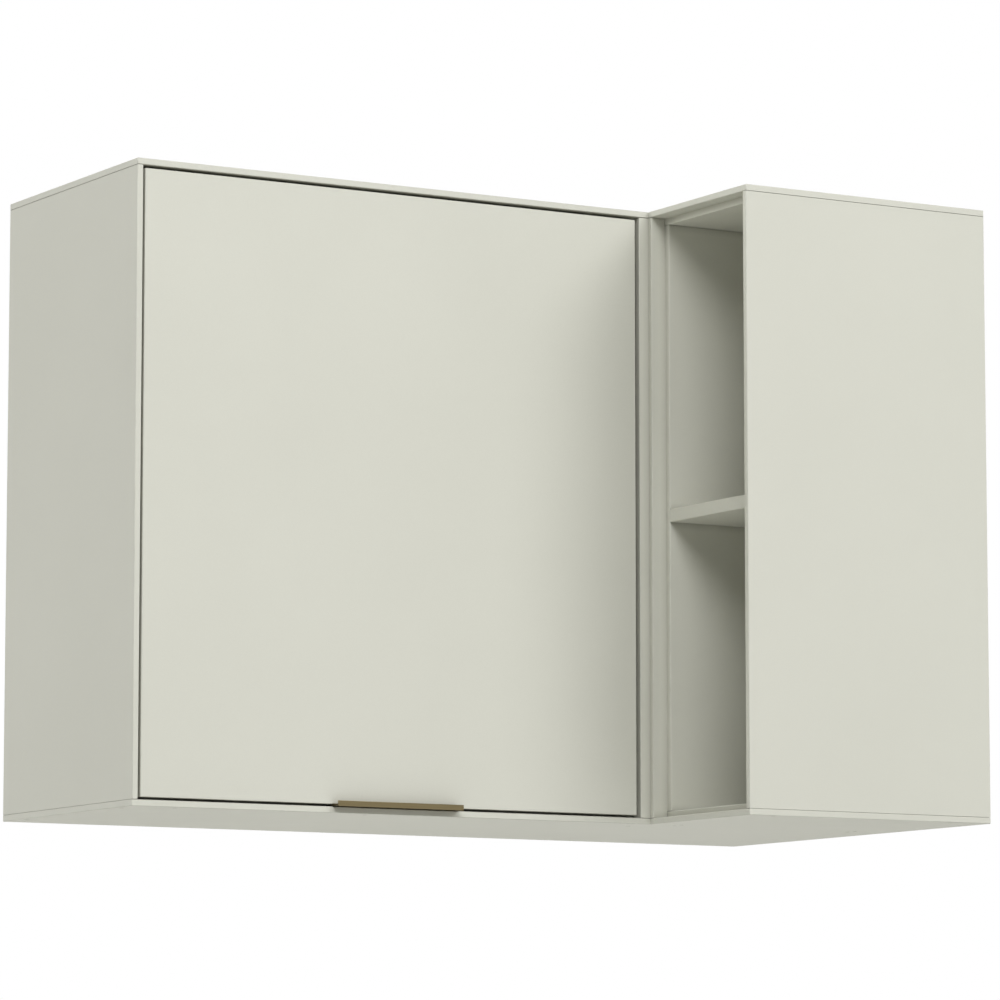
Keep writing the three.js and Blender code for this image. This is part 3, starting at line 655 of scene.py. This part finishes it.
def turned(profile, radius=0.25, sides=48):
    shape = bmesh.new()
    rings = []
    for across, height in softened(profile, radius):
        if across < ON_THE_AXIS:
            rings.append([shape.verts.new((0, 0, height * mm))])
            continue
        turns = [2 * math.pi * side / sides for side in range(sides)]
        rings.append([
            shape.verts.new((across * mm * math.cos(turn), across * mm * math.sin(turn), height * mm))
            for turn in turns
        ])
    for low, high in zip(rings, rings[1:]):
        for side in range(sides):
            corners = [
                low[side % len(low)], low[(side + 1) % sides % len(low)],
                high[(side + 1) % sides % len(high)], high[side % len(high)],
            ]
            face = shape.faces.new(list(dict.fromkeys(corners)))
            face.smooth = True
    bmesh.ops.recalc_face_normals(shape, faces=shape.faces)
    return shape


def round_bar(radius, low, high, rim=0.3):
    return turned([(0, low), (radius, low), (radius, high), (0, high)], radius=rim)


# %% [markdown]
# Plates are cut from sheet metal: an outline, a thickness and a broken rim. A strip is a plate on
# edge that follows a line with bends. `joined` puts several shapes into one piece, and `moved` turns
# and places a shape. A part drawn along Z is laid along Y or X with a quarter turn, and the other
# turns that are needed have names as well.

# %% Plates, strips and places
ALONG_Y = Matrix.Rotation(-math.pi / 2, 4, "X")
ALONG_X = Matrix.Rotation(math.pi / 2, 4, "Y")
UPSIDE_DOWN = Matrix.Rotation(math.pi, 4, "X")
TURNED_ROUND = Matrix.Rotation(math.pi, 4, "Z")
QUARTER_TURN = Matrix.Rotation(math.pi / 2, 4, "Z")
ON_EDGE = Matrix.Rotation(math.pi / 2, 4, "X")
ROUND = 0.5


def plate(outline, low, high, rim=0.2):
    shape = bmesh.new()
    rims = []
    for height in (low, high):
        corners = [shape.verts.new((point[0] * mm, point[1] * mm, height * mm)) for point in outline]
        rims.append(shape.faces.new(corners))
    for index in range(len(outline)):
        following = (index + 1) % len(outline)
        bottom = [rims[0].verts[index], rims[0].verts[following]]
        top = [rims[1].verts[following], rims[1].verts[index]]
        side = shape.faces.new(bottom + top)
        side.smooth = True
    bmesh.ops.recalc_face_normals(shape, faces=shape.faces)
    edges = [edge for face in rims for edge in face.edges]
    rounding = bmesh.ops.bevel(
        shape, geom=edges, offset=rim * mm, segments=2, profile=ROUND,
        affect="EDGES", clamp_overlap=True,
    )
    for face in rounding["faces"]:
        face.smooth = True
    return shape


def rectangle(width, height, corner):
    half = Vector((width / 2, height / 2))
    corners = [(-half.x, -half.y), (half.x, -half.y), (half.x, half.y), (-half.x, half.y)]
    return softened(corners, corner, closed=True)


def strip_outline(line, thickness):
    sides = [[], []]
    for index, point in enumerate(line):
        before = line[max(index - 1, 0)]
        after = line[min(index + 1, len(line) - 1)]
        along = (after - before).normalized()
        for side, hand in zip(sides, (1, -1)):
            side.append(point + Vector((-along.y, along.x)) * hand * thickness / 2)
    return sides[1] + sides[0][::-1]


def moved(shape, *steps):
    for step in steps:
        matrix = step if isinstance(step, Matrix) else Matrix.Translation(Vector(step) * mm)
        bmesh.ops.transform(shape, matrix=matrix, verts=shape.verts)
    return shape


def joined(shapes):
    whole = bmesh.new()
    for shape in shapes:
        part = as_mesh(shape, "part")
        whole.from_mesh(part)
        bpy.data.meshes.remove(part)
    return whole


def set_down(shape, place):
    """Moves a finished shape to its place in the cabinet, given in metres."""
    bmesh.ops.translate(shape, vec=place, verts=shape.verts)
    return shape


# %% [markdown]
# A screw is known by its cross recess. The recess is cut out of the turned head with a Boolean
# modifier: two short crossed bars are taken away. Three kinds are made: the long countersunk
# screws that hold the bottom, the small countersunk ones of the pull, and the round-headed ones of
# the hinges and brackets. A driver pulls a countersunk head a little below the board, so it lies in
# its own small shadow. Each head points down, at -Z, and the tip up.

# %% Screws
RECESS_BAR = 0.38
RECESS_DEPTH = 0.5
RECESS_REACH = 0.62
SCREW_TIP = 5
ROUND_HEAD = [(0, -1.5), (1.7, -1.4), (2.6, -0.95), (3, -0.3), (3, 0), (1.5, 0)]


def carved(shape, tools):
    """The shape less the tools."""
    made = [new_object("carving", as_mesh(part, "carving")) for part in (shape, joined(tools))]
    cutting = made[0].modifiers.new("cut", "BOOLEAN")
    cutting.operation = "DIFFERENCE"
    cutting.solver = "EXACT"
    cutting.use_self = True
    cutting.object = made[1]
    seen = made[0].evaluated_get(bpy.context.evaluated_depsgraph_get())
    result = bmesh.new()
    result.from_mesh(seen.to_mesh())
    for thing in made:
        mesh = thing.data
        bpy.data.objects.remove(thing)
        bpy.data.meshes.remove(mesh)
    return result


def cross_recess(head_low, depth, reach):
    bars = []
    for turn in (math.pi / 4, math.pi * 3 / 4):
        outline = rectangle(2 * reach, reach * RECESS_BAR, corner=0.1)
        bar = plate(outline, head_low - 1, head_low + depth, rim=0.05)
        bars.append(moved(bar, Matrix.Rotation(turn, 4, "Z")))
    return bars


def countersunk(head, shank, cone, length, sunk):
    rim = head - 0.1
    profile = [
        (0, sunk), (rim, sunk), (rim, sunk + 0.2), (shank, cone), (shank, length - SCREW_TIP),
        (0, length),
    ]
    recess = cross_recess(sunk, depth=cone * RECESS_DEPTH, reach=head * RECESS_REACH)
    return carved(turned(profile, radius=0.1), recess)


def round_headed():
    profile = ROUND_HEAD + [(1.5, 7), (0, 9)]
    return carved(turned(profile, radius=0.3), cross_recess(-1.5, depth=0.9, reach=1.9))


bottom_screw = countersunk(head=2.8, shank=1.8, cone=2.4, length=40, sunk=0.4)
pull_screw = countersunk(head=2.4, shank=1.2, cone=1.5, length=14, sunk=0.1)
bottom_screw_mesh = as_mesh(bottom_screw, "bottom_screw_mesh", [ZINC])
pull_screw_mesh = as_mesh(pull_screw, "pull_screw_mesh", [ZINC])
print("A bottom screw has", len(bottom_screw_mesh.polygons), "faces")

# %% [markdown]
# The thirteen screws under the bottom share one mesh, and so do the three of the pull. Sharing keeps
# the file small, and a change to one screw changes all. Each stands where its CAD node stands, and
# is turned by an angle that follows from its name and place, since no two are driven in alike.

# %% Screws in their places
TURN_BY_NAME = 0.7
TURN_PER_METRE = 9

for start, shared in (("bottom_screw", bottom_screw_mesh), ("pull_screw", pull_screw_mesh)):
    for node in sorted(name for name in nodes if name.startswith(start)):
        place = middle(node)
        place.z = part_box(node)[0].z
        screw = piece(node, shared)
        screw.location = place
        screw.rotation_euler.z = TURN_BY_NAME * (len(node) % 5) + place.x * TURN_PER_METRE

# %% [markdown]
# Two spare holes near the front edge have flat plastic caps with a soft rim. The inner shelf lies on
# four steel pins, and the door falls against two small buffers with round noses.

# %% Caps, pins and buffers
CAP_RADIUS = 2.6
SHELF_PIN_RADIUS = 2.5
HALF_SHELF_PIN = 8
BUFFER_RADIUS = 2.4
NOSE_RADIUS = 1.5

for node in ("bottom_hole_plug_1", "bottom_hole_plug_2"):
    low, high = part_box(node)
    place = middle(node)
    place.z = low.z
    cap = round_bar(CAP_RADIUS, 0, (high - low).z / mm, rim=0.4)
    piece(node, set_down(cap, place), [CAP])

for node in (f"{side}_shelf_pin_{number}" for side in ("left", "right") for number in (1, 2)):
    pin = round_bar(SHELF_PIN_RADIUS, -HALF_SHELF_PIN, HALF_SHELF_PIN, rim=0.5)
    piece(node, set_down(moved(pin, ALONG_X), middle(node)), [ZINC])

for node in ("left_door_buffer", "right_door_buffer"):
    low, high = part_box(node)
    depth = (high - low).y / mm
    place = middle(node)
    place.y = low.y
    nose = turned([
        (0, 0), (BUFFER_RADIUS, 0), (BUFFER_RADIUS, depth * 0.5), (NOSE_RADIUS, depth), (0, depth),
    ], radius=0.7)
    piece(node, set_down(moved(nose, ALONG_Y), place), [MILKY])

# %% [markdown]
# A concealed hinge has a pressed cup, sunk in the door's back, with two screwed wings, and an arm
# that reaches out of the cup and round the edge to a plate under the top panel. The cup and its
# flange are one turned form, 0.8 mm thick. The arm is a pressed strip: its bends are softened, since
# sheet steel can't turn a sharp corner. It keeps the CAD arm's line, so that it clears the cup and
# the door as they swing.

# %% Hinge cups
CUP_RADIUS = 17.2
CUP_WALL = 0.8
CUP_FLOOR = 3.3
CUP_RIM = 16.3
CUP_BELOW_AXIS = 12.0
FLANGE_RADIUS = 19
FLANGE_LOW = CUP_RIM - 1
WING_LOW = CUP_RIM - 0.95
WING_HIGH = CUP_RIM - 0.05
WINGS_ACROSS = (-22, 22)
WING_SCREWS_ACROSS = (-23, 23)
CHEEKS_ACROSS = (-6.3, 6.3)
CHEEKS_DOWN = 10.3

front = spot(0, 0, 0).y


def hinge_cup(node):
    inside = CUP_RADIUS - CUP_WALL
    bottom = CUP_FLOOR + CUP_WALL
    shell = turned([
        (0, CUP_FLOOR), (CUP_RADIUS, CUP_FLOOR), (CUP_RADIUS, FLANGE_LOW), (FLANGE_RADIUS, FLANGE_LOW),
        (FLANGE_RADIUS, CUP_RIM), (inside, CUP_RIM), (inside, bottom), (0, bottom),
    ], radius=0.5, sides=72)
    wings = [
        moved(plate(rectangle(12, 18, corner=4), WING_LOW, WING_HIGH), (across, 0, 0))
        for across in WINGS_ACROSS
    ]
    screws = [
        moved(round_headed(), UPSIDE_DOWN, (across, 0, WING_HIGH)) for across in WING_SCREWS_ACROSS
    ]
    cheek_outline = rectangle(2, 11, corner=0.6)
    cheeks = [
        moved(plate(cheek_outline, CUP_FLOOR + 0.4, CUP_FLOOR + 9), (across, -CHEEKS_DOWN, 0))
        for across in CHEEKS_ACROSS
    ]
    whole = moved(joined([shell, *wings, *screws, *cheeks]), ALONG_Y)
    place = Vector((middle(node).x, front, door_axis.z - CUP_BELOW_AXIS * mm))
    piece(node, set_down(whole, place), [NICKEL])


hinge_cup("left_hinge_cup")
hinge_cup("right_hinge_cup")

# %% Hinge arms, plates and pins
TOP_UNDERSIDE = 685.0
ARM_LINE = [(0, 0), (2.26, -12.8), (16, -16), (30, -8), (31, 0.4384), (71, 0.4384)]
ARM_THICKNESS = 2
HALF_ARM = 5
ARM_EYE_RADIUS = 2.6
PLATE_BACK = 58
PLATE_THICKNESS = 1.7
PLATE_SCREWS = ((-14, 0), (14, 0), (0, -2.3))
HINGE_PIN_RADIUS = 1.2
HALF_HINGE_PIN = 7.3


def hinge_arm(node):
    outline = strip_outline(softened(ARM_LINE, 4, steps=6), ARM_THICKNESS)
    strip = moved(plate(outline, -HALF_ARM, HALF_ARM, rim=0.4), ON_EDGE, QUARTER_TURN)
    eye = moved(round_bar(ARM_EYE_RADIUS, -HALF_ARM, HALF_ARM), ALONG_X)
    place = Vector((middle(node).x, door_axis.y, door_axis.z))
    piece(node, set_down(joined([strip, eye]), place), [NICKEL])


def hinge_plate(node):
    base = TOP_UNDERSIDE - PLATE_THICKNESS
    spine = plate(rectangle(14, 40, corner=2), base, TOP_UNDERSIDE - 0.02)
    wings = plate(rectangle(40, 16, corner=5), base + 0.02, TOP_UNDERSIDE)
    screws = [moved(round_headed(), (across, 0, base + up)) for across, up in PLATE_SCREWS]
    whole = moved(joined([spine, wings, *screws]), (0, PLATE_BACK, 0))
    place = spot(0, 0, 0)
    place.x = middle(node).x
    piece(node, set_down(whole, place), [NICKEL])


def hinge_pin(node):
    pin = moved(round_bar(HINGE_PIN_RADIUS, -HALF_HINGE_PIN, HALF_HINGE_PIN), ALONG_X)
    piece(node, set_down(pin, middle(node)), [POLISHED])


for side in ("left", "right"):
    hinge_arm(f"{side}_hinge_arm")
    hinge_plate(f"{side}_hinge_plate")
    hinge_pin(f"{side}_hinge_pin")

# %% [markdown]
# Two gas struts push the door up and hold it there. A strut is a black tube, rolled in at its mouth,
# and a polished rod that slides out of it. Both end in an eye. The foot's eye turns on a stud of
# the bracket on the side, and the head's eye stands beside the boss of the door's bracket.
# Everything is turned along the strut's own line, which leans back by a few degrees at rest, and
# then leaned with it.

# %% Gas struts
swing = next(joint for joint in frame["joints"] if joint["name"] == "strut_swing")
slide = next(joint for joint in frame["joints"] if joint["name"] == "strut_slide")
strut_foot = Vector(swing["pos_m"])
strut_line = Vector(slide["axis"])
STRUT_RISE = 210.0
STRUT_RUN = 25.0
STRUT_LENGTH = math.hypot(STRUT_RISE, STRUT_RUN)
SOCKET = STRUT_LENGTH - 22
SOCKET_END = STRUT_LENGTH - 5
EYE_RADIUS = 7.0
EYE_BEVEL = 1
HALF_EYE = 5
TUBE_PROFILE = [
    (0, 12), (6.6, 12), (7.5, 13.5), (7.5, 178), (6.9, 179), (6.9, 180.5), (7.5, 181.5), (7.5, 184),
    (6.6, 185), (4.3, 185), (4.3, 175), (5, 175), (5, 83), (0, 83),
]
ROD_PROFILE = [
    (0, 105), (4.7, 105), (4.7, 113), (4, 113), (4, SOCKET), (4.8, SOCKET), (4.8, SOCKET_END),
    (0, SOCKET_END),
]

lean = Matrix.Rotation(math.atan2(-strut_line.y, strut_line.z), 4, "X")


def eye_at(height, hole):
    flat = EYE_RADIUS - EYE_BEVEL
    edge = HALF_EYE - EYE_BEVEL
    ring = turned([
        (hole, -HALF_EYE), (flat, -HALF_EYE), (EYE_RADIUS, -edge), (EYE_RADIUS, edge), (flat, HALF_EYE),
        (hole, HALF_EYE), (hole, -HALF_EYE),
    ], radius=0.4)
    return moved(ring, ALONG_X, (0, 0, height))


def strut_part(node, shapes, material):
    """Joins the shapes, leans them along the strut and sets them down on its foot."""
    place = Vector((middle(node).x, strut_foot.y, strut_foot.z))
    piece(node, set_down(moved(joined(shapes), lean), place), [material])


for side in ("left", "right"):
    tube = turned(TUBE_PROFILE, radius=0.5, sides=64)
    neck = round_bar(4.5, 5, 13)
    strut_part(f"{side}_strut_tube", [tube, neck, eye_at(0, hole=4.3)], BLACK)
    rod = turned(ROD_PROFILE, radius=0.3, sides=64)
    strut_part(f"{side}_strut_rod", [rod, eye_at(STRUT_LENGTH, hole=0.6)], POLISHED)

# %% [markdown]
# The brackets are zinc plated steel. The foot is a plate with a stud, screwed to the side or the
# post. The head is an angle: one leg lies on the door's back, and the other stands up and carries
# the boss. The right hand ones are mirror images of the left hand ones, so each is drawn
# once and turned over with a mirror matrix, after which its faces are turned to look out again.

# %% Strut brackets
LEFT_SIDE_FACE = 15.0
POST_FACE = 637.8
STUD_PROFILE = [
    (0, 2), (5.5, 2), (5.5, 9.7), (4, 9.7), (4, 20.3), (5.5, 20.3), (5.5, 21.8), (0, 21.8),
]
FOOT_PLATE_LOW = 0.3
FOOT_PLATE_HIGH = 2.3
LEG_ACROSS = 33.3
LEG_LOW = 15.3
LEG_HIGH = 17.3
CHEEK_BACK = 27.6
CHEEK_LOW = 22.3
CHEEK_HIGH = 24.25
BOSS_BACK = 32
BOSS_RADIUS = 5.5
BOSS_LOW = 20.3
BOSS_HIGH = 25.8
LEG_SCREWS_ACROSS = 35.3
BRACKET_SCREWS_UP = (-15, 15)


def handed(shape, hand):
    if hand < 0:
        moved(shape, Matrix.Scale(-1, 4, (1, 0, 0)))
        bmesh.ops.reverse_faces(shape, faces=shape.faces)
    return shape


def foot_bracket(node, hand, face_x):
    base = moved(plate(rectangle(44, 26, corner=4), FOOT_PLATE_LOW, FOOT_PLATE_HIGH), ALONG_X)
    stud = moved(turned(STUD_PROFILE, radius=0.3), ALONG_X)
    screws = [
        moved(round_headed(), ALONG_X, TURNED_ROUND, (FOOT_PLATE_HIGH, 0, up))
        for up in BRACKET_SCREWS_UP
    ]
    whole = handed(joined([base, stud, *screws]), hand)
    place = Vector((spot(face_x, 0, 0).x, strut_foot.y, strut_foot.z))
    piece(node, set_down(whole, place), [ZINC])


def head_bracket(node, hand, face_x):
    leg = moved(plate(rectangle(22, 40, corner=3), LEG_LOW, LEG_HIGH), ALONG_Y, (LEG_ACROSS, 0, 0))
    cheek = plate(rectangle(16, 24.6, corner=5), CHEEK_LOW, CHEEK_HIGH)
    cheek = moved(cheek, ALONG_X, (0, CHEEK_BACK, 0))
    boss = moved(round_bar(BOSS_RADIUS, BOSS_LOW, BOSS_HIGH, rim=0.4), ALONG_X, (0, BOSS_BACK, 0))
    screws = [
        moved(round_headed(), ALONG_Y, TURNED_ROUND, (LEG_SCREWS_ACROSS, LEG_HIGH, up))
        for up in BRACKET_SCREWS_UP
    ]
    whole = handed(joined([leg, cheek, boss, *screws]), hand)
    place = Vector((spot(face_x, 0, 0).x, front, middle(node).z))
    piece(node, set_down(whole, place), [ZINC])


for side, hand, face_x in (("left", 1, LEFT_SIDE_FACE), ("right", -1, POST_FACE)):
    foot_bracket(f"{side}_strut_foot_bracket", hand, face_x)
    head_bracket(f"{side}_strut_head_bracket", hand, face_x)

# %% [markdown]
# The cabinet hangs in a white studio. Weak light comes from all round, a little more from the right
# and less from above: that is the world's colour for matt surfaces. A pale floor lies well below,
# white to the eye, and throws light up at the cabinet's underside. The lamps leave its far parts dim,
# so there it glows more. To the camera and in reflections, world and floor are plain white.

# %% World and floor
LIGHT_ALL_ROUND = 0.256
LIGHT_MORE_RIGHT = 0.209
LIGHT_LESS_ABOVE = 0.237
FLOOR_DROP = 1400.0
FLOOR_SIDE = 60.0
WHITE = (1, 1, 1, 1)
FLOOR_COLOUR = (0.78, 0.78, 0.75, 1)
FLOOR_GLOW = 0.42
FAR_GLOW = 0.6
NEAR_FLOOR = 2.5
FAR_FLOOR = 12.0

world = bpy.data.worlds.new("studio")
bpy.context.scene.world = world
world.use_nodes = True
world.node_tree.nodes.clear()
studio = Network(world.node_tree)
direction = studio.node("ShaderNodeTexCoord", {}, {}).outputs["Generated"]
right, _, up = studio.axes(direction)
light = (right * LIGHT_MORE_RIGHT - up * LIGHT_LESS_ABOVE + LIGHT_ALL_ROUND).larger(0.0)
white = studio.seen()
strength = white + light * (1 - white)
background = studio.node("ShaderNodeBackground", {}, {"Color": WHITE, "Strength": strength})
studio.node("ShaderNodeOutputWorld", {}, {"Surface": background.outputs[0]})

ground = Finish("studio_floor")
ground.tree.nodes.remove(ground.surface)
matt = ground.node("ShaderNodeBsdfDiffuse", {}, {"Color": FLOOR_COLOUR})
away = ground.node("ShaderNodeVectorMath", {"operation": "LENGTH"}, {0: ground.place}).outputs["Value"]
glow = Wire(ground, away).above(NEAR_FLOOR, FAR_FLOOR) * FAR_GLOW + FLOOR_GLOW
shine = ground.node("ShaderNodeEmission", {}, {"Strength": ground.seen() * glow})
lit = ground.node("ShaderNodeAddShader", {}, {0: matt.outputs[0], 1: shine.outputs[0]})
beneath = ground.node("ShaderNodeBsdfTransparent", {}, {})
from_below = ground.wire("ShaderNodeNewGeometry", "Backfacing")
both = ground.node("ShaderNodeMixShader", {}, {0: from_below, 1: lit.outputs[0], 2: beneath.outputs[0]})
ground.feed(ground.tree.nodes["Material Output"].inputs["Surface"], both.outputs[0])

floor_shape = bmesh.new()
bmesh.ops.create_grid(floor_shape, x_segments=1, y_segments=1, size=FLOOR_SIDE / 2)
floor = new_object("floor", as_mesh(floor_shape, "floor_mesh", [ground.material]))
floor.location = spot(CABINET_WIDTH / 2, 0, -FLOOR_DROP)

# %% [markdown]
# A lamp that looks large from the object throws a soft shadow. Three lamps are disks, a little over
# four metres wide, at eight metres. The key stands in front, to the right and above, and lets the
# niche throw its wide shadow on the door. A stronger one stands to the left and above, lights that
# shadow up and shines into the niche, so that the shelf darkens what lies under it. The third stands
# on the left, a little behind, and keeps the left side from going grey. A fourth, smaller and very
# weak, lies just above the floor: it lights the underside, but can't reach into the niche, whose deep
# corners stay dark.

# %% Lamps
LAMP_DISTANCE = 8.0
LAMP_SIZE = 4.3
LOW_LAMP_DISTANCE = 1.65
LOW_LAMP_SIZE = 1.6


def lamp(name, turn, rise, power, distance=LAMP_DISTANCE, size=LAMP_SIZE):
    """A disk of light, some degrees to the right of the front and above the level."""
    data = bpy.data.lights.new(name, "AREA")
    data.shape = "DISK"
    data.size = size
    data.energy = power
    made = new_object(name, data)
    turn = math.radians(turn)
    rise = math.radians(rise)
    towards = Vector((
        math.sin(turn) * math.cos(rise), -math.cos(turn) * math.cos(rise), math.sin(rise),
    ))
    made.location = spot(CABINET_WIDTH / 2, 0, CABINET_HEIGHT / 2) + towards * distance
    made.rotation_euler = (-towards).to_track_quat("-Z", "Y").to_euler()
    made.visible_camera = False


lamp("key", turn=26, rise=35, power=238)
lamp("left_lamp", turn=-28, rise=38, power=360)
lamp("side_lamp", turn=-115, rise=20, power=227)
lamp("low_lamp", turn=180, rise=-81, power=2.6, distance=LOW_LAMP_DISTANCE, size=LOW_LAMP_SIZE)
bpy.context.scene.view_settings.view_transform = "Standard"
